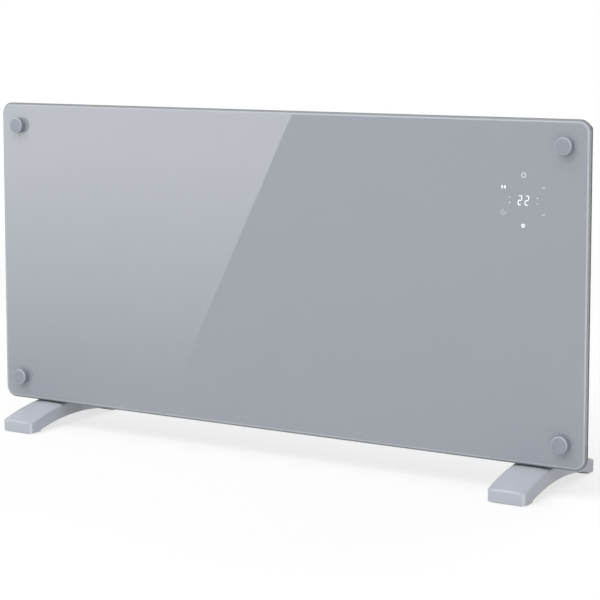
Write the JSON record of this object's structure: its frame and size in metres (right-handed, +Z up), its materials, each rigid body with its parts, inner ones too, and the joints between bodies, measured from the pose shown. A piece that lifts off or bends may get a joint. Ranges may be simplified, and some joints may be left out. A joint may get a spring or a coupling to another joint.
{
  "type": "panel convector heater",
  "caption": "Free-standing electric panel heater: grey glass front held by round caps, slim convector case with grilles behind, touch display and two arched feet.",
  "frame": {"origin": "on the floor, midway between the feet and midway along them", "axes": "+X to the viewer's right along the pane, +Y from the glass front to the back, +Z up"},
  "size_m": [0.85, 0.2, 0.432],
  "materials": {
    "pane_glass": "toughened glass, painted grey on its back",
    "cap_metal": "satin grey",
    "soft_washer": "clear soft plastic",
    "rubber_black": "matt black",
    "zinc_steel": "zinc plated",
    "carrier_paint": "fine textured grey powder coat",
    "bright_aluminium": "mill finish",
    "case_paint": "fine textured grey powder coat",
    "end_cap_plastic": "fine spark-eroded grain",
    "black_screws": "dark zinc",
    "grille_plastic": "fine matt grain",
    "foot_silver": "satin silver grey",
    "ceramic": "white glazed steatite",
    "nickel": "nickel plated",
    "black_moulding": "matt black",
    "circuit_board": "green solder mask",
    "dark_lens": "smoked",
    "spring_bronze": "bright",
    "white_nylon": "natural white",
    "relay_blue": "smooth blue",
    "capacitor_sleeve": "shrunk sleeve",
    "switch_black": "satin black",
    "tip_frame_plastic": "dark grey",
    "pendulum_brass": "plain",
    "gland_black": "matt black",
    "heat_lead": "white silicone sleeve",
    "small_lead": "smooth brown insulation"
  },
  "bodies": {
    "heater": {"glass_panel": "pane_glass", "cap_top_left": "cap_metal", "cap_top_right": "cap_metal", "cap_bottom_left": "cap_metal", "cap_bottom_right": "cap_metal", "cap_washers": "soft_washer", "glass_bushes": "soft_washer", "glass_standoffs": "rubber_black", "foot_pads_left": "rubber_black", "foot_pads_right": "rubber_black", "cap_studs": "zinc_steel", "weld_nuts": "zinc_steel", "carrier_screws": "zinc_steel", "shield_studs": "zinc_steel", "foot_screws": "zinc_steel", "foot_nut_plates": "zinc_steel", "element_bracket_left": "zinc_steel", "element_bracket_right": "zinc_steel", "tip_pivot_pin": "zinc_steel", "carrier_plate": "carrier_paint", "heat_shield": "bright_aluminium", "heating_element": "bright_aluminium", "rear_panel": "case_paint", "end_cap_left": "end_cap_plastic", "end_cap_right": "end_cap_plastic", "rear_screws": "black_screws", "outlet_grille": "grille_plastic", "inlet_grille": "grille_plastic", "foot_left": "foot_silver", "foot_right": "foot_silver", "element_insulators": "ceramic", "element_terminals": "nickel", "thermal_fuse": "nickel", "thermal_cutout": "black_moulding", "display_tray": "black_moulding", "tip_microswitch": "black_moulding", "room_sensor": "black_moulding", "touch_board": "circuit_board", "power_board": "circuit_board", "digit_display": "dark_lens", "touch_springs": "spring_bronze", "switch_terminals": "spring_bronze", "board_posts": "white_nylon", "terminal_block": "white_nylon", "relays": "relay_blue", "supply_capacitor": "capacitor_sleeve", "switch_housing": "switch_black", "tip_switch_frame": "tip_frame_plastic", "cable_gland": "gland_black", "gland_nut": "gland_black", "element_leads": "heat_lead", "board_lead": "small_lead", "switch_lead": "small_lead", "display_lead": "small_lead"},
    "rocker": {"switch_rocker": "switch_black"},
    "tip_weight": {"tip_pendulum": "pendulum_brass"}
  },
  "joints": [
    {"name": "rocker_press", "type": "hinge", "parent": "heater", "child": "rocker", "pos_m": [0.387, -0.0015, 0.111], "axis": [0, 1, 0], "range_deg": [0, 18]},
    {"name": "tip_swing", "type": "hinge", "parent": "heater", "child": "tip_weight", "pos_m": [0.338, -0.0105, 0.148], "axis": [1, 0, 0], "range_deg": [-30, 30]}
  ]
}
